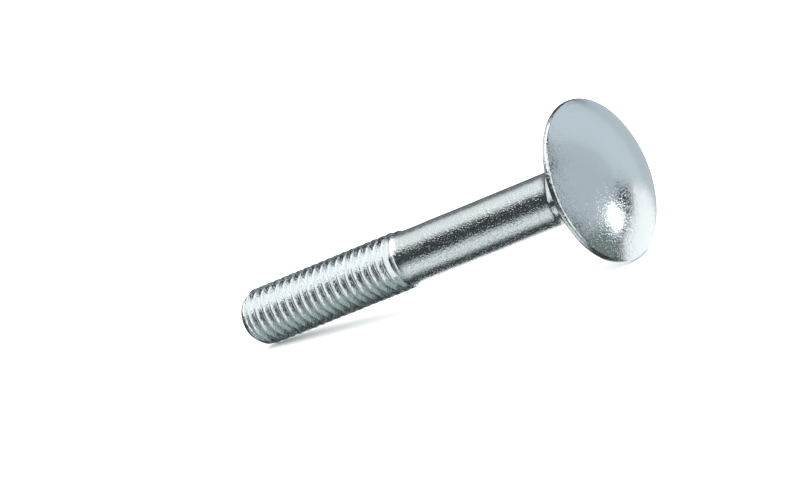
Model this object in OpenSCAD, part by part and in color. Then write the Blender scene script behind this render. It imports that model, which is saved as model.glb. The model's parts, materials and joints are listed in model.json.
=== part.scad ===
// Carriage bolt with a 6 mm thread, in one piece: a low domed head, a square neck, a shank and a threaded end.
// It lies on its side as it comes to rest, held up by the rim of the head and the end of the thread.
// The thread is drawn as the cylinder over its crests, and its grooves are left out.

/* [Head] */
// Diameter of the head
head_d = 16; // [13:0.1:20]
// Height of the head above its flat underside
head_h = 3.4; // [2.9:0.1:4.5]
// Height of the rim, up to the edge where the dome meets it
rim_h = 0.6; // [0.6:0.05:1.2]
// Radius of the rounding between the dome and the rim
rim_top_r = 0.4; // [0.2:0.05:0.4]
// Radius of the rounding between the rim and the underside
rim_low_r = 0.25; // [0.1:0.05:0.3]

/* [Square neck] */
// Width of the neck across its flats
neck_w = 6.1; // [5.5:0.1:8]
// Depth of the neck below the head
neck_l = 4; // [3:0.1:5.5]
// How far the blunt corners of the neck fall short of sharp ones
neck_corner_loss = 0.65; // [0.3:0.05:0.8]
// Length of the slope from the blunt corners down to the shank
neck_lead_l = 0.4; // [0.2:0.1:1]

/* [Shank] */
// Length of the bolt from the underside of the head to the tip
bolt_l = 43.8; // [35:0.1:70]
// Diameter of the plain round shank, which is near the pitch diameter of the thread
shank_d = 5.32; // [4.6:0.02:6.5]
// How far the bolt has rolled about its own axis, as the flats of its neck show
bolt_turn = 50; // [0:1:90]

/* [Thread] */
// Diameter over the crests of the thread
thread_d = 5.9; // [5:0.05:7.1]
// Length of full thread, measured from the tip
thread_l = 19.2; // [12:0.1:24]
// Length over which the thread runs out into the shank
runout_l = 1.3; // [1:0.1:3]
// Diameter of the flat tip
tip_d = 4.8; // [3.8:0.1:5]
// Length of the bevel at the tip
tip_bevel_l = 1; // [0.5:0.1:2]

/* [Hidden] */
$fn = 96;

head_r = head_d / 2;
thread_r = thread_d / 2;
// The dome is the cap of a sphere that stands on the rim
cap_h = head_h - rim_h;
dome_r = (head_r * head_r + cap_h * cap_h) / (2 * cap_h);
dome_z = head_h - dome_r;
// Centre of the rounding that touches both the dome and the side of the rim
rim_top_x = head_r - rim_top_r;
rim_top_z = dome_z + sqrt(pow(dome_r - rim_top_r, 2) - pow(rim_top_x, 2));
// Slope of the line from the centre of the dome through the centre of that rounding
rim_top_angle = atan2(rim_top_z - dome_z, rim_top_x);
// Distance from the axis to the centre of the rounding at the underside
rim_low_x = head_r - rim_low_r;
// Radius of the turned corners of the neck
neck_corner_r = neck_w / sqrt(2) - neck_corner_loss;

// Where each stretch starts, counted down from the underside of the head
thread_top = bolt_l - thread_l;
runout_top = thread_top - runout_l;
bevel_top = bolt_l - tip_bevel_l;

// The two edges of the tip's bevel: how far each lies below the underside, and from the axis
tip_edges = [[bevel_top, thread_r], [bolt_l, tip_d / 2]];

// Slope of the line that touches the lower rounding of the rim and an edge further down the bolt
function touching_slope(edge) =
    let (run = edge[0] + rim_low_r, across = rim_low_x - edge[1])
    asin(rim_low_r / norm([run, across])) + atan(across / run);

// How far an edge hangs below the centre of the underside when the bolt slopes by an angle
function edge_drop(edge, angle) = edge[0] * sin(angle) + edge[1] * cos(angle);

// Resting slope: the bolt lies on its rim and on the edge that touches first, which has the smaller slope
rest_angle = min([for (edge = tip_edges) touching_slope(edge)]);
// Height of the underside's centre above the surface, and its place that centres the bolt over the origin
rest_z = max([for (edge = tip_edges) edge_drop(edge, rest_angle)]);
reach_front = dome_z * cos(rest_angle) + dome_r;
reach_back = bolt_l * cos(rest_angle) + tip_d / 2 * sin(rest_angle);
rest_x = (reach_back - reach_front) / 2;

// How far one shape runs into or past another that it meets
over = 0.5;

// The point at a distance from the origin, in the direction of an angle
function polar(distance, angle) = distance * [cos(angle), sin(angle)];

// The corner outside a rounding: two straight cuts from its centre, at the angles a and b
module corner_wedge(r, a, b) {
    far = r / cos((b - a) / 2) + over;
    polygon([[0, 0], polar(far, a), polar(far, (a + b) / 2), polar(far, b)]);
}

// Half section of the head: dome, rim and flat underside, with both edges rounded
module head_section() {
    difference() {
        intersection() {
            translate([0, dome_z]) circle(dome_r);
            square([head_r, head_h]);
        }
        translate([rim_top_x, rim_top_z]) corner_wedge(rim_top_r, 0, rim_top_angle);
        translate([rim_low_x, rim_low_r]) corner_wedge(rim_low_r, -90, 0);
    }
    translate([rim_top_x, rim_top_z]) intersection() {
        circle(rim_top_r);
        corner_wedge(rim_top_r, 0, rim_top_angle);
    }
    translate([rim_low_x, rim_low_r]) intersection() {
        circle(rim_low_r);
        corner_wedge(rim_low_r, -90, 0);
    }
}

module head() {
    rotate_extrude() head_section();
}

// A square bar with its corners turned down, which stops the bolt from turning in wood
module square_neck() {
    intersection() {
        translate([-neck_w / 2, -neck_w / 2, -neck_l]) cube([neck_w, neck_w, neck_l + over]);
        union() {
            translate([0, 0, neck_lead_l - neck_l]) cylinder(h = neck_l + over, r = neck_corner_r);
            translate([0, 0, -neck_l]) cylinder(h = neck_lead_l, r1 = shank_d / 2, r2 = neck_corner_r);
        }
    }
}

module shank() {
    translate([0, 0, -runout_top - over]) cylinder(h = runout_top + 2 * over, d = shank_d);
}

// The thread's outer form: it rises out of the shank and is bevelled at the tip
module thread_form() {
    translate([0, 0, -thread_top]) cylinder(h = runout_l, d1 = thread_d, d2 = shank_d);
    translate([0, 0, -bevel_top]) cylinder(h = bevel_top - thread_top, d = thread_d);
    translate([0, 0, -bolt_l]) cylinder(h = tip_bevel_l, d1 = tip_d, d2 = thread_d);
}

module carriage_bolt() {
    color([0.76, 0.79, 0.8])
        translate([rest_x, 0, rest_z]) rotate([0, 90 - rest_angle, 0]) rotate([0, 0, bolt_turn]) {
            head();
            square_neck();
            shank();
            thread_form();
        }
}

carriage_bolt();
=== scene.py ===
# %% [markdown]
# # A zinc-plated carriage bolt
#
# A carriage bolt is headed, squared and rolled from one length of steel wire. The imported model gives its
# place and its plain form. This script adds what the plain form leaves out: the rolled thread, the soft
# edges of cold-formed steel, the zinc plating, and a small studio to look at it in.

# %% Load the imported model
import json
import math

import bmesh
import bpy
import numpy as np
from mathutils import Matrix, Vector


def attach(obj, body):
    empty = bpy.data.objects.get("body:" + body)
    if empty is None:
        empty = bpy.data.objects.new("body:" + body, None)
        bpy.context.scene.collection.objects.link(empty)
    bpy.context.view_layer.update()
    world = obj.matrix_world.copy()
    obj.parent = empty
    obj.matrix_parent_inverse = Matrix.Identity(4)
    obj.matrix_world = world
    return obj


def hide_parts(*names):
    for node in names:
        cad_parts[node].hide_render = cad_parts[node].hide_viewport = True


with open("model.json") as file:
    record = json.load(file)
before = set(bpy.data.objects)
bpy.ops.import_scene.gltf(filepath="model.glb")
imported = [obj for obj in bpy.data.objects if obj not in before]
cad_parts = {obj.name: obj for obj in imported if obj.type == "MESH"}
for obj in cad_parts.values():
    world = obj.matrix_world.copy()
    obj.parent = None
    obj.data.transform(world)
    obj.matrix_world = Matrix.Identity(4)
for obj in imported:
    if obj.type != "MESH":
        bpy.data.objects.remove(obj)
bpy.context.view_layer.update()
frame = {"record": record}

MM = 0.001

# %% [markdown]
# ## Where the bolt lies
#
# The bolt lies on its side, so its axis is tilted. The record's mounts say where the axis runs: the thread
# mount lies on it and points at the tip, and the head seat lies in the plane of the head's flat underside.
# Everything below is drawn upright, in millimetres, with zero at the middle of that underside and the dome
# upwards, and is laid down on its side at the end. Drawing it in place would need a tilt in every line.

# %% Find the bolt's axis
mounts = {mount["name"]: mount for mount in frame["record"]["mounts"]}
thread_middle = Vector(mounts["thread"]["pos_m"])
axis = -Vector(mounts["thread"]["axis"]).normalized()
seat = Vector(mounts["head_seat"]["pos_m"])
underside = thread_middle + (seat - thread_middle).dot(axis) * axis

# Across the axis: one direction level with the floor, and one down towards it
level = Vector((0, 1, 0))
downward = level.cross(axis).normalized()
upright_to_lying = Matrix((downward, level, axis)).transposed().to_4x4()
upright_to_lying.translation = underside
print("the axis rises", round(math.degrees(math.asin(axis.z)), 2), "degrees towards the head")

# %% [markdown]
# ## Sizes
#
# Fasteners are made to tables, so most of these are the usual sizes of a 6 mm carriage bolt: a head 16 mm
# across, a neck a little over 6 mm wide, and a thread that climbs 1 mm a turn. Heights count up from the
# underside of the head, so everything below the head is negative.

# %% Sizes of a 6 mm carriage bolt, in millimetres
HEAD_D = 16.0
HEAD_H = 3.4
RIM_H = 0.6
RIM_TOP_R = 0.4
RIM_LOW_R = 0.25
NECK_W = 6.1
NECK_L = 4.0
NECK_CORNER_LOSS = 0.65
NECK_LEAD_L = 0.4
NECK_TURN = math.radians(50)
BOLT_L = 43.8
SHANK_R = 2.66
THREAD_R = mounts["thread"]["dims"]["r_mm"]
PITCH = 1.0
RUNOUT_END = -23.3
RUNOUT_L = 2.0
TIP_R = 2.4
TIP_BEVEL_L = 1.0
print("a", BOLT_L, "mm bolt with a", HEAD_D, "mm head and", round(2 * THREAD_R, 2), "mm over the thread")

# %% [markdown]
# ## The shape
#
# The bolt could be a turned outline with a screw modifier for the thread, but the two would only pass
# through each other. Here it is one closed skin instead: a grid of rings and columns, wrapped round the
# axis from the middle of the dome to the middle of the tip. Each ring has one height and one radius per
# column, so the same grid makes the round head, the square neck and the helix.

# %% Start the grid of rings
COLUMNS = 160
turn = np.linspace(0, 2 * math.pi, COLUMNS + 1)
rings = []


def add_ring(height, radius):
    """Adds a ring: height and radius are numbers, or one number for each column."""
    rings.append((np.broadcast_to(height, turn.shape), np.broadcast_to(radius, turn.shape)))


def add_arc(centre_r, centre_h, radius, start, end, steps):
    """Adds rings along an arc. Angles are in degrees from the axis, outwards and down."""
    for step in range(steps + 1):
        angle = math.radians(start + (end - start) * step / steps)
        add_ring(centre_h + radius * math.cos(angle), centre_r + radius * math.sin(angle))


print(COLUMNS, "columns, one for every", 360 / COLUMNS, "degrees")

# %% [markdown]
# The head is struck in a die from the wire's end. The die gives it a spherical cap, a short upright rim
# and a flat underside. Metal doesn't fill the die's corners, so both edges of the rim are round. A bevel
# modifier could round them too, but arcs that start where the dome's slope ends keep the skin smooth.

# %% The head
DOME_STEPS = 26
RIM_TOP_STEPS = 6
RIM_LOW_STEPS = 5
cap_h = HEAD_H - RIM_H
head_r = HEAD_D / 2
dome_r = (head_r**2 + cap_h**2) / (2 * cap_h)
dome_h = HEAD_H - dome_r
edge_r = head_r - RIM_TOP_R
edge_h = dome_h + math.sqrt((dome_r - RIM_TOP_R) ** 2 - edge_r**2)
dome_angle = math.degrees(math.atan2(edge_r, edge_h - dome_h))
add_arc(0, dome_h, dome_r, 0, dome_angle, DOME_STEPS)

# The dome's last ring is the rounding's first, so the rounding starts a few degrees later
PAST_DOME = 6
add_arc(edge_r, edge_h, RIM_TOP_R, dome_angle + PAST_DOME, 90, RIM_TOP_STEPS)
add_ring((edge_h + RIM_LOW_R) / 2, head_r)
add_arc(head_r - RIM_LOW_R, RIM_LOW_R, RIM_LOW_R, 90, 180, RIM_LOW_STEPS)
print("dome radius", round(dome_r, 2), "mm, over", round(dome_angle, 1), "degrees")

# %% [markdown]
# The square neck keeps the bolt from turning in wood. The die presses it square, with its corners turned
# down and a small fillet under the head. Its outline could be a cube cut by a cylinder, but here it is one
# formula: the distance to the nearest of two pairs of flats and a circle, where a high power eases the
# joins as cold forming does.

# %% The square neck
EASE = 34
FILLET_R = 0.2
neck_corner_r = NECK_W / math.sqrt(2) - NECK_CORNER_LOSS


def neck_outline(corner_r):
    """Radius of a square with its corners turned down to a radius, for each column."""
    across_flats = np.abs(np.cos(turn - NECK_TURN)) / (NECK_W / 2)
    along_flats = np.abs(np.sin(turn - NECK_TURN)) / (NECK_W / 2)
    return (across_flats**EASE + along_flats**EASE + (1 / corner_r) ** EASE) ** (-1 / EASE)


neck = neck_outline(neck_corner_r)
for share in (0.2, 0.5, 0.8):
    add_ring(0, (head_r - RIM_LOW_R) * (1 - share) + (neck + FILLET_R) * share)
for degrees in (0, 30, 60, 90):
    angle = math.radians(degrees)
    add_ring(-FILLET_R * (1 - math.cos(angle)), neck + FILLET_R * (1 - math.sin(angle)))
for height in (-0.8, -1.7, -2.6, -3.2, -3.45):
    add_ring(height, neck)
lead_top = -NECK_L + NECK_LEAD_L
for share in (0, 0.12, 0.35, 0.65, 0.88):
    corner_r = neck_corner_r + (SHANK_R - neck_corner_r) * share
    add_ring(lead_top - NECK_LEAD_L * share, neck_outline(corner_r))
print("neck", NECK_W, "mm across flats and", round(2 * neck_corner_r, 2), "mm across corners")

# %% [markdown]
# The shank is the drawn wire itself, a little waved by the forging. The wave is far too small to measure,
# but it bends the straight reflections along the shank, which is how the eye tells drawn wire from a
# turned bar. Two slow sine waves round the bolt are enough, and a bump in the material couldn't do it,
# because bump leaves the outline and the long reflections straight.

# %% The plain shank
WAVE = 0.006
WAVE_FADE_L = 3
SHANK_RINGS = 24


def wave(height):
    """A small, slow change of radius that joins up round the bolt and dies out at both ends of the shank."""
    fade = min(1, (-NECK_L - height) / WAVE_FADE_L, (height - RUNOUT_END) / WAVE_FADE_L)
    return WAVE * fade * (np.sin(2 * turn + 0.9 * height) + np.sin(3 * turn - 0.55 * height + 1) - 2)


for height in np.linspace(-NECK_L - 0.02, RUNOUT_END, SHANK_RINGS):
    add_ring(height, SHANK_R + wave(height))
print("shank", 2 * SHANK_R, "mm thick, waved by up to", 4 * WAVE, "mm")

# %% [markdown]
# ## The thread
#
# The thread is rolled: two dies press a 60 degree groove into the shank, and the metal that is pushed out
# rises between the grooves to form the crests. So the shank is near the thread's mean diameter and not its
# outer one. The rising metal folds in from both sides, which leaves a round crest with a fine seam along
# its middle. The groove is round at its root.
#
# A thread could be a picture of lines in the material, but its flanks mirror each other and its outline
# is toothed, so it has to be real. This cell gives the profile: a radius for each distance from a crest.

# %% The profile of the rolled thread
CREST_ROUND = 0.15
ROOT_ROUND = 0.11
SEAM_DEPTH = 0.03
SEAM_HALF_W = 0.045
FLANK_SLOPE = math.sqrt(3)
ROUND_SHARE = math.cos(math.pi / 6)
V_DEPTH = PITCH / 4 * FLANK_SLOPE
crest_centre = SHANK_R + V_DEPTH - 2 * CREST_ROUND
root_centre = SHANK_R - V_DEPTH + 2 * ROOT_ROUND


def thread_profile(from_crest):
    """Radius at a distance along the axis from the middle of the nearest crest."""
    to_root = PITCH / 2 - from_crest
    flank = SHANK_R + FLANK_SLOPE * (PITCH / 4 - from_crest)
    crest = crest_centre + np.sqrt(np.maximum(CREST_ROUND**2 - from_crest**2, 0))
    root = root_centre - np.sqrt(np.maximum(ROOT_ROUND**2 - to_root**2, 0))
    seam = SEAM_DEPTH * np.maximum(1 - (from_crest / SEAM_HALF_W) ** 2, 0) ** 2
    radius = np.where(from_crest < CREST_ROUND * ROUND_SHARE, crest - seam, flank)
    return np.where(to_root < ROOT_ROUND * ROUND_SHARE, root, radius)


print("crest", round(2 * float(thread_profile(np.array(0.0))), 3), "mm over,",
      "root", round(2 * float(thread_profile(np.array(PITCH / 2))), 3), "mm")

# %% [markdown]
# The thread fades out towards the head, where the dies end: the groove gets shallower first, and the crest
# sinks last. At the tip the wire was bevelled before rolling, so the thread is cut off by a cone. The join
# of the two is eased over a few hundredths of a millimetre, as an edge that has been plated is.

# %% The threaded end
CREST_AT = -42.19
UNEVEN = 0.008
SOFT_EDGE = 0.03


def thread_radius(height):
    """Radius of the threaded end at a height, for each column."""
    turns = (height - CREST_AT) / PITCH - turn / (2 * math.pi)
    full = thread_profile(PITCH * np.abs(turns - np.round(turns)))
    into_runout = np.clip((height - RUNOUT_END + RUNOUT_L) / RUNOUT_L, 0, 1)
    crest_part = np.maximum(full - SHANK_R, 0) * (1 - into_runout**4)
    root_part = np.minimum(full - SHANK_R, 0) * (1 - into_runout)
    uneven = UNEVEN * (np.sin(5 * turn + 1.7 * height) + np.sin(11 * turn - 2.3 * height) - 2)
    threaded = SHANK_R + crest_part * (1 + uneven) + root_part
    bevel = TIP_R + (height + BOLT_L) * (THREAD_R - TIP_R) / TIP_BEVEL_L
    past_bevel = np.clip((threaded - bevel) / SOFT_EDGE, -1, 1)
    return np.minimum(threaded, bevel) - SOFT_EDGE / 4 * (1 - np.abs(past_bevel)) ** 2


ends = [float(np.max(thread_radius(np.full(turn.shape, -height)))) for height in (30, BOLT_L)]
print("largest radius along the thread", round(ends[0], 3), "mm, and at the tip", round(ends[1], 3), "mm")

# %% [markdown]
# A helix drawn with a cut and a boolean would leave slivers. Instead each ring of the grid here climbs one
# pitch as it goes round, so it follows the helix, and joins the ring a pitch higher. Rings lie closest
# together over the crest, where the profile turns fastest. Those that would climb out of the threaded
# stretch at either end are cut off flat.

# %% Wind the rings into a helix
NEAR_CREST = (0.022, 0.044, 0.066, 0.088, 0.11, 0.13, 0.34, 0.405, 0.43, 0.465)
offsets = sorted({0.0, PITCH / 2, *NEAR_CREST, *(PITCH - x for x in NEAR_CREST)}, reverse=True)
lowest_turn = math.floor((-BOLT_L - CREST_AT) / PITCH) - 2
highest_turn = math.ceil((RUNOUT_END - CREST_AT) / PITCH) + 1
for crest in range(highest_turn, lowest_turn, -1):
    for offset in offsets:
        helix = CREST_AT + crest * PITCH + offset + PITCH * turn / (2 * math.pi)
        height = np.clip(helix, -BOLT_L, RUNOUT_END)
        add_ring(height, np.where(height == RUNOUT_END, SHANK_R, thread_radius(height)))
print(len(offsets), "rings to a pitch,", len(rings), "rings so far")

# %% [markdown]
# Rolling pulls the skin of the wire along more than its core, so the end of a rolled bolt is a shallow
# dish. A flat cap would do, but the dish catches a softer light.

# %% The tip
TIP_DISH = ((0.93, 0.03), (0.8, 0.06), (0.6, 0.1), (0.35, 0.13), (0.0, 0.14))
for share, dip in TIP_DISH:
    add_ring(-BOLT_L + dip, TIP_R * share)
print("the tip is dished by", TIP_DISH[-1][1], "mm, and the grid has", len(rings), "rings")

# %% [markdown]
# The grid becomes a mesh of four-sided faces. Its last column lies on its first, and the rings that were
# cut off at either end of the thread lie on each other, so everything within a tenth of a micrometre is
# welded. The faces that close up in this way are removed, and the skin is watertight.

# %% Build the skin
WELD = 1e-7
SLIVER = 1e-8
heights = np.array([ring[0] for ring in rings])
radii = np.array([ring[1] for ring in rings])
points = np.stack([radii * np.cos(turn), radii * np.sin(turn), heights], axis=-1) * MM
ring_step = COLUMNS + 1
corner = (np.arange(len(rings) - 1)[:, None] * ring_step + np.arange(COLUMNS)).ravel()
quads = np.stack([corner, corner + ring_step, corner + ring_step + 1, corner + 1], axis=-1)
mesh = bpy.data.meshes.new("carriage_bolt_skin")
mesh.from_pydata(points.reshape(-1, 3).tolist(), [], quads.tolist())

work = bmesh.new()
work.from_mesh(mesh)
bmesh.ops.remove_doubles(work, verts=work.verts, dist=WELD)
bmesh.ops.dissolve_degenerate(work, edges=work.edges, dist=SLIVER)
bmesh.ops.recalc_face_normals(work, faces=work.faces)
open_edges = sum(not edge.is_manifold for edge in work.edges)
triangles = sum(len(face.verts) - 2 for face in work.faces)
volume = work.calc_volume() / MM**3
work.to_mesh(mesh)
work.free()
print(triangles, "triangles,", open_edges, "open edges,", round(volume, 1), "mm3")

# %% [markdown]
# The skin is laid down on its side and takes the place of the imported bolt: it rides on the same body.

# %% Lay the bolt down
mesh.transform(upright_to_lying)
mesh.shade_smooth()
bolt = bpy.data.objects.new("carriage_bolt_skin", mesh)
bpy.context.scene.collection.objects.link(bolt)
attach(bolt, "root")
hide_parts("carriage_bolt")
print("the skin's lowest point is", round(min(v.co.z for v in mesh.vertices) / MM, 3), "mm above the floor")

# %% [markdown]
# ## The finish
#
# A material is a small network: nodes that work something out, and links between them. Colours are
# written as sRGB hex values, as on a colour chart, but light adds up in linear values, so one function
# turns them. Another adds a node, sets it up and links it, which keeps each network short to read.


# %% Helpers for colours and nodes
def linear(hex_colour, brightness=1.0):
    """An sRGB hex colour as linear red, green, blue and alpha, made brighter or darker by a factor."""
    values = [int(hex_colour[i:i + 2], 16) / 255 for i in (1, 3, 5)]
    values = [x / 12.92 if x <= 0.04045 else ((x + 0.055) / 1.055) ** 2.4 for x in values]
    return [x * brightness for x in values] + [1.0]


def add_node(tree, kind, inputs=(), **settings):
    """Adds a node. Settings go on the node. Each input is a value, or another node's output to link."""
    node = tree.nodes.new(kind)
    for name, value in settings.items():
        setattr(node, name, value)
    for name, value in dict(inputs).items():
        if isinstance(value, bpy.types.NodeSocket):
            tree.links.new(value, node.inputs[name])
        else:
            node.inputs[name].default_value = value
    return node


print("the hex colour #808080 is", round(linear("#808080")[0], 3), "in linear light")

# %% [markdown]
# The bolt is plain steel, electroplated with zinc and passivated clear. The plating bath has brighteners
# in it, so the zinc comes out shiny and slightly blue. It copies the steel below: the faint orange peel of
# metal that was squeezed in a die, and the fine grain of wire that was pickled in acid before drawing. The
# die burnishes the dome, so the grain is shallower there.
#
# To the eye this gives a mirror that is blurred a little, unevenly, with a sparkle of fine specks wherever
# dark and light meet. The grain is bump and not an uneven colour, because what varies is which way each
# speck faces. Zinc is a metal, so its colour is the colour of its mirror, and it keeps the default IOR.

# %% Bright zinc-plated steel: its texture
zinc = bpy.data.materials.new("bright_zinc_plated_steel")
zinc.use_nodes = True
tree = zinc.node_tree
tree.nodes.clear()
place = add_node(tree, "ShaderNodeTexCoord").outputs["Object"]

# Orange peel is about a millimetre from swell to swell on a small forging
ORANGE_PEEL_MM = 0.9
ORANGE_PEEL_DEPTH_MM = 0.005
peel = add_node(tree, "ShaderNodeTexNoise",
                {"Vector": place, "Scale": 1 / (ORANGE_PEEL_MM * MM), "Detail": 1.0}).outputs["Fac"]

# Real grain is about 0.03 mm, which is too fine to show, so it is drawn as coarse as it needs to show
GRAIN_MM = 0.15
grain = add_node(tree, "ShaderNodeTexNoise",
                 {"Vector": place, "Scale": 1 / (GRAIN_MM * MM), "Detail": 1.0, "Roughness": 0.5})
specks = add_node(tree, "ShaderNodeMapRange",
                  {"Value": grain.outputs["Fac"], "From Min": 0.45, "From Max": 0.8},
                  interpolation_type="SMOOTHSTEP")
print("orange peel every", ORANGE_PEEL_MM, "mm, grain every", GRAIN_MM, "mm")

# %% [markdown]
# How deep the grain is depends on the height along the bolt: deep on the wire, shallow on the dome. The
# height comes from the place itself, as the part of it that lies along the axis, so no second material
# and no painted mask is needed.

# %% Bright zinc-plated steel: how deep the grain is
GRAIN_DEPTH_WIRE_MM = 0.017
GRAIN_DEPTH_DOME_MM = 0.010
BURNISHED_ABOVE_MM = 1.2
from_underside = add_node(tree, "ShaderNodeVectorMath", {0: place, 1: underside}, operation="SUBTRACT")
height_up = add_node(tree, "ShaderNodeVectorMath", {0: from_underside.outputs[0], 1: axis},
                     operation="DOT_PRODUCT")
grain_depth = add_node(tree, "ShaderNodeMapRange",
                       {"Value": height_up.outputs["Value"],
                        "From Min": 0.0, "From Max": BURNISHED_ABOVE_MM * MM,
                        "To Min": GRAIN_DEPTH_WIRE_MM * MM, "To Max": GRAIN_DEPTH_DOME_MM * MM})
print("grain", GRAIN_DEPTH_WIRE_MM, "mm deep on the wire and", GRAIN_DEPTH_DOME_MM, "mm on the dome")

# %% [markdown]
# Polished zinc has a roughness near 0.1, and dull zinc one near 0.3. A bright plated bolt is close to the
# first, and varies a little with the orange peel. The peel's bump feeds the grain's, so that the specks
# lie on the swells.

# %% Bright zinc-plated steel: the metal
ROUGHNESS_RANGE = (0.12, 0.18)
roughness = add_node(tree, "ShaderNodeMapRange",
                     {"Value": peel, "From Min": 0.3, "From Max": 0.7,
                      "To Min": ROUGHNESS_RANGE[0], "To Max": ROUGHNESS_RANGE[1]})
peel_bump = add_node(tree, "ShaderNodeBump",
                     {"Height": peel, "Distance": ORANGE_PEEL_DEPTH_MM * MM, "Strength": 1.0})
grain_bump = add_node(tree, "ShaderNodeBump",
                      {"Height": specks.outputs["Result"], "Distance": grain_depth.outputs["Result"],
                       "Strength": 1.0, "Normal": peel_bump.outputs["Normal"]})
metal = add_node(tree, "ShaderNodeBsdfPrincipled",
                 {"Base Color": linear("#D8E0E2"), "Metallic": 1.0,
                  "Roughness": roughness.outputs["Result"], "Normal": grain_bump.outputs["Normal"]})
add_node(tree, "ShaderNodeOutputMaterial", {"Surface": metal.outputs["BSDF"]})
mesh.materials.append(zinc)
print(len(tree.nodes), "nodes in", zinc.name)

# %% [markdown]
# ## The camera
#
# The camera's place is given as a person at a bench would give it: how far its line of sight is off the
# bolt's axis, how far round the axis it stands, and how it is rolled about its own line of sight. A camera
# that was placed by coordinates would have to be placed again whenever the bolt lay differently.

# %% Where the camera stands
VIEW_OFF_AXIS = math.radians(52.9)
VIEW_ROUND = math.radians(-98.1)
VIEW_ROLL = math.radians(22.18)
toward = math.cos(VIEW_ROUND) * downward + math.sin(VIEW_ROUND) * level
back = math.cos(VIEW_OFF_AXIS) * axis + math.sin(VIEW_OFF_AXIS) * toward
side = back.cross(axis).normalized()
along = side.cross(back)
right = math.cos(VIEW_ROLL) * along - math.sin(VIEW_ROLL) * side
up = math.sin(VIEW_ROLL) * along + math.cos(VIEW_ROLL) * side
print("the camera looks down", round(math.degrees(math.asin(back.z)), 1), "degrees")

# %% [markdown]
# A long lens from some way off shows a small part without bending it. It aims a little past the middle of
# the bolt, and all of the bolt is in focus, as in a catalogue.

# %% The camera itself
DISTANCE_MM = 385.2
LENS_MM = 187
SENSOR_MM = 36
AIM_LEFT_MM = 18.29
AIM_DOWN_MM = 6.54
CLIP_START_M = 0.01
camera = bpy.data.objects.new("camera", bpy.data.cameras.new("camera"))
bpy.context.scene.collection.objects.link(camera)
aim = underside - AIM_LEFT_MM * MM * right - AIM_DOWN_MM * MM * up
camera.matrix_world = Matrix((right, up, back)).transposed().to_4x4()
camera.location = aim + DISTANCE_MM * MM * back
camera.data.lens = LENS_MM
camera.data.sensor_width = SENSOR_MM
camera.data.clip_start = CLIP_START_M
bpy.context.scene.camera = camera
print("the view is", round(DISTANCE_MM * SENSOR_MM / LENS_MM, 1), "mm wide at the bolt")

# %% [markdown]
# ## The floor
#
# The bolt lies on a wide sheet of matt white paper. Paper scatters light evenly and has no shine of its
# own, so its specular level is zero. The metal doesn't mirror it: the light that the metal needs is
# painted on the world instead, where each band can be placed by itself.

# %% Matt white paper
FLOOR_HALF_M = 6.0
floor_corners = [(x * FLOOR_HALF_M, y * FLOOR_HALF_M, 0) for x, y in ((-1, -1), (1, -1), (1, 1), (-1, 1))]
floor_mesh = bpy.data.meshes.new("floor")
floor_mesh.from_pydata(floor_corners, [], [(0, 1, 2, 3)])
floor = bpy.data.objects.new("floor", floor_mesh)
bpy.context.scene.collection.objects.link(floor)
floor.visible_glossy = False

paper = bpy.data.materials.new("matt_white_paper")
paper.use_nodes = True
tree = paper.node_tree
tree.nodes.clear()
matt = add_node(tree, "ShaderNodeBsdfPrincipled",
                {"Base Color": linear("#F4F6F6"), "Roughness": 0.9, "Specular IOR Level": 0.0})
add_node(tree, "ShaderNodeOutputMaterial", {"Surface": matt.outputs["BSDF"]})
floor_mesh.materials.append(paper)
print("a floor", 2 * FLOOR_HALF_M, "m wide")

# %% [markdown]
# ## The studio
#
# A bright metal shows nothing of its own: what the eye sees is the studio in it. The world here is the
# studio. It is painted in two angles, measured from the bolt: how far a direction leans from the bolt's
# axis, and how far round the axis it lies from the camera's side. Strip lights that run along the bolt
# are then simple bands. Lamps and cards set up in the scene would do the same, but each one would show in
# several places at once, and moving it would move them all.

# %% The world's two angles
world = bpy.data.worlds.new("studio")
bpy.context.scene.world = world
world.use_nodes = True
tree = world.node_tree
tree.nodes.clear()


def angle_round(tree, vector):
    """The angle of a vector round the bolt's axis, from the camera's side."""
    sideways = add_node(tree, "ShaderNodeVectorMath", {0: vector, 1: side}, operation="DOT_PRODUCT")
    outwards = add_node(tree, "ShaderNodeVectorMath", {0: vector, 1: toward}, operation="DOT_PRODUCT")
    return add_node(tree, "ShaderNodeMath",
                    {0: sideways.outputs["Value"], 1: outwards.outputs["Value"]},
                    operation="ARCTAN2").outputs[0]


look = add_node(tree, "ShaderNodeTexCoord").outputs["Generated"]
look_along = add_node(tree, "ShaderNodeVectorMath", {0: look, 1: axis}, operation="DOT_PRODUCT")
lean = add_node(tree, "ShaderNodeMath", {0: look_along.outputs["Value"]}, operation="ARCCOSINE").outputs[0]
round_axis = angle_round(tree, look)
print("the camera's own lean from the axis is", round(math.degrees(math.acos(back.dot(axis))), 1), "degrees")

# %% [markdown]
# A panel is a patch of light with soft edges, like a lamp behind a diffuser. It is one where both angles
# lie near the panel's middle, and it falls smoothly to zero. Panels are laid over each other in order, as
# sheets of coloured gel would be. A gradient texture could stand in for one, but not for a stack of them.


# %% Panels of light
def band(tree, angle, middle, half, soft):
    """One where an angle lies within half of the middle, zero outside, with soft edges. In degrees."""
    apart = add_node(tree, "ShaderNodeMath", {0: angle, 1: math.radians(middle)}, operation="SUBTRACT")
    apart = add_node(tree, "ShaderNodeMath", {0: apart.outputs[0]}, operation="COSINE")
    apart = add_node(tree, "ShaderNodeMath", {0: apart.outputs[0]}, operation="ARCCOSINE")
    return add_node(tree, "ShaderNodeMapRange",
                    {"Value": apart.outputs[0], "From Min": math.radians(half + soft),
                     "From Max": math.radians(half - soft)}, interpolation_type="SMOOTHSTEP").outputs[0]


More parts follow.
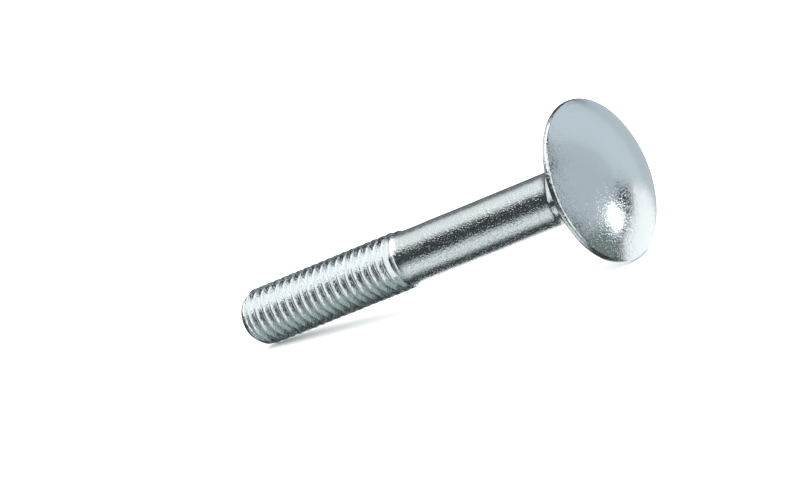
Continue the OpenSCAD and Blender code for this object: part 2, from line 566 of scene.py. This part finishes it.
def add_panel(below, colour, brightness, round_part, lean_part):
    """Lays a soft-edged panel on the world. Each part is a middle, a half width and a softness in degrees."""
    share = add_node(tree, "ShaderNodeMath",
                     {0: band(tree, round_axis, *round_part), 1: band(tree, lean, *lean_part)},
                     operation="MULTIPLY")
    return add_node(tree, "ShaderNodeMix", {0: share.outputs[0], 6: below, 7: linear(colour, brightness)},
                    data_type="RGBA").outputs[2]


STUDIO_GREY = "#8A9698"
UNLIT = 0.19
studio = linear(STUDIO_GREY, UNLIT)
print("an unlit wall sends back", round(studio[1], 3), "of the light")

# %% [markdown]
# The dome mirrors the half of the studio that lies beyond the head. A big pale blue-grey panel there makes
# its calm face, a brighter one makes its upper part, and a third carries the light to its far edge.

# %% Light for the dome
studio = add_panel(studio, "#DCE3EA", 0.80, (0, 180, 1), (0, 37, 4))
studio = add_panel(studio, "#DCE5EC", 0.98, (140, 50, 8), (60, 24, 5))
studio = add_panel(studio, "#DCE5EC", 0.80, (172, 18, 6), (100, 22, 6))
print(len(tree.nodes), "nodes in the world so far")

# %% [markdown]
# A round bar mirrors a strip light as a stripe along its length. Two strips, above and below the line of
# sight, leave a dark stripe between them, and it is this contrast that reads as polished metal. A faint
# third one keeps the far edge from going black.

# %% Strip lights for the shank
studio = add_panel(studio, "#F6F9F9", 1.02, (80, 33, 13), (132, 22, 5))
studio = add_panel(studio, "#F6F9F9", 1.02, (-50, 27, 15), (132, 22, 5))
studio = add_panel(studio, "#F2F8F9", 0.22, (150, 30, 10), (140, 20, 4))
print(len(tree.nodes), "nodes in the world so far")

# %% [markdown]
# The flanks of the thread face the head, but each one is looked at over the turn in front of it. What it
# mirrors is often that turn, which mirrors the studio in its own way, so this light has bounced twice and
# has lost nearly half its strength. The panel above is bright to make up for that, and nearly white. The
# one below is dimmer and greener. Between them each groove stays dark.

# %% Light for the thread's flanks
studio = add_panel(studio, "#FFFAF6", 2.4, (67, 33, 3), (98, 14, 3))
studio = add_panel(studio, "#CFE4DD", 0.78, (-55, 17, 4), (98, 14, 3))
print(len(tree.nodes), "nodes in the world so far")

# %% [markdown]
# A small rounding turns through so many directions that it mirrors a wide panel as a thin line. This is
# how crests and rims come to be drawn with a bright line, beside a dark one.

# %% Light for the crests and the rim
studio = add_panel(studio, STUDIO_GREY, 0.35, (0, 78, 8), (32, 7, 2))
studio = add_panel(studio, "#F6F9F9", 1.25, (0, 70, 10), (56, 18, 3))
print(len(tree.nodes), "nodes in the world so far")

# %% [markdown]
# Last come the marks low on the dome: a dim green patch, a broad white panel that whitens the dome beside
# it, and one small strong lamp. The lamp's mirror image is the hot spot, and the grain breaks up its edge.

# %% Light for the lower part of the dome
studio = add_panel(studio, "#B9CBC6", 0.42, (250, 20, 6), (48, 14, 5))
studio = add_panel(studio, "#FFFFFF", 1.25, (207, 19, 3), (100, 42, 3))
studio = add_panel(studio, "#FFFFFF", 3.6, (221, 9, 3), (40, 9, 2))
print(len(tree.nodes), "nodes in the world so far")

# %% [markdown]
# Only the metal sees the painted studio. The camera and the matt floor see an even white instead, which
# gives a plain pale backdrop and soft shadows. The Light Path node tells the two kinds of ray apart. The
# Standard view shows colours as they are, without the curve that film has.

# %% What the camera and the floor see of the world
BACKDROP_WHITE = 2.6
rays = add_node(tree, "ShaderNodeLightPath")
plain_rays = add_node(tree, "ShaderNodeMath",
                      {0: rays.outputs["Is Camera Ray"], 1: rays.outputs["Is Diffuse Ray"]},
                      operation="MAXIMUM")
mirrored = add_node(tree, "ShaderNodeBackground", {"Color": studio, "Strength": 1.0})
backdrop = add_node(tree, "ShaderNodeBackground", {"Color": linear("#FFFFFF"), "Strength": BACKDROP_WHITE})
either = add_node(tree, "ShaderNodeMixShader",
                  {0: plain_rays.outputs[0], 1: mirrored.outputs[0], 2: backdrop.outputs[0]})
add_node(tree, "ShaderNodeOutputWorld", {"Surface": either.outputs[0]})
bpy.context.scene.view_settings.view_transform = "Standard"
print(len(tree.nodes), "nodes in the finished world")

# %% [markdown]
# ## The card behind the head
#
# The steepest parts of the thread mirror the same directions as the dome does, yet need another light. In
# a studio one would slip a card between the two, and this is such a card: a flat ring round the head, which
# only the thread can see. Its hole is a little wider than the head. It casts no shadow and doesn't show.

# %% The card's shape
CARD_HOLE_R = 8.4
CARD_R = 160
CARD_H = -0.4
CARD_SIDES = 96
card_points = []
for radius in (CARD_HOLE_R, CARD_R):
    for step in range(CARD_SIDES):
        angle = 2 * math.pi * step / CARD_SIDES
        outward = math.cos(angle) * toward + math.sin(angle) * side
        card_points.append(underside + (CARD_H * axis + radius * outward) * MM)
card_faces = []
for step in range(CARD_SIDES):
    after = (step + 1) % CARD_SIDES
    card_faces.append((CARD_SIDES + step, CARD_SIDES + after, after, step))
card_mesh = bpy.data.meshes.new("thread_card")
card_mesh.from_pydata(card_points, [], card_faces)
card = bpy.data.objects.new("thread_card", card_mesh)
bpy.context.scene.collection.objects.link(card)
card.visible_camera = False
card.visible_diffuse = False
card.visible_shadow = False
card.visible_transmission = False
print("the card faces", "the thread" if card_mesh.polygons[0].normal.dot(axis) < 0 else "the dome")

# %% [markdown]
# The card glows by itself, in sectors: white for the upper part of the thread, dim green for the lower
# part, and dark elsewhere, so that the thread's outer edges go dark. Its back is clear, so that the dome
# sees the studio through it.

# %% The card's light
glow = bpy.data.materials.new("glowing_card")
glow.use_nodes = True
tree = glow.node_tree
tree.nodes.clear()
spot = add_node(tree, "ShaderNodeNewGeometry")
from_underside = add_node(tree, "ShaderNodeVectorMath", {0: spot.outputs["Position"], 1: underside},
                          operation="SUBTRACT")
sector = angle_round(tree, from_underside.outputs[0])
shades = linear(STUDIO_GREY, 0.20)
for colour, brightness, sector_part in (("#FFFFFF", 1.2, (33, 82, 3)), ("#D3E6E0", 0.70, (-80, 20, 7))):
    share = band(tree, sector, *sector_part)
    shades = add_node(tree, "ShaderNodeMix", {0: share, 6: shades, 7: linear(colour, brightness)},
                      data_type="RGBA").outputs[2]
lit = add_node(tree, "ShaderNodeEmission", {"Color": shades, "Strength": 1.0})
clear = add_node(tree, "ShaderNodeBsdfTransparent")
one_sided = add_node(tree, "ShaderNodeMixShader",
                     {0: spot.outputs["Backfacing"], 1: lit.outputs[0], 2: clear.outputs[0]})
add_node(tree, "ShaderNodeOutputMaterial", {"Surface": one_sided.outputs[0]})
card_mesh.materials.append(glow)
print(len(tree.nodes), "nodes in", glow.name)
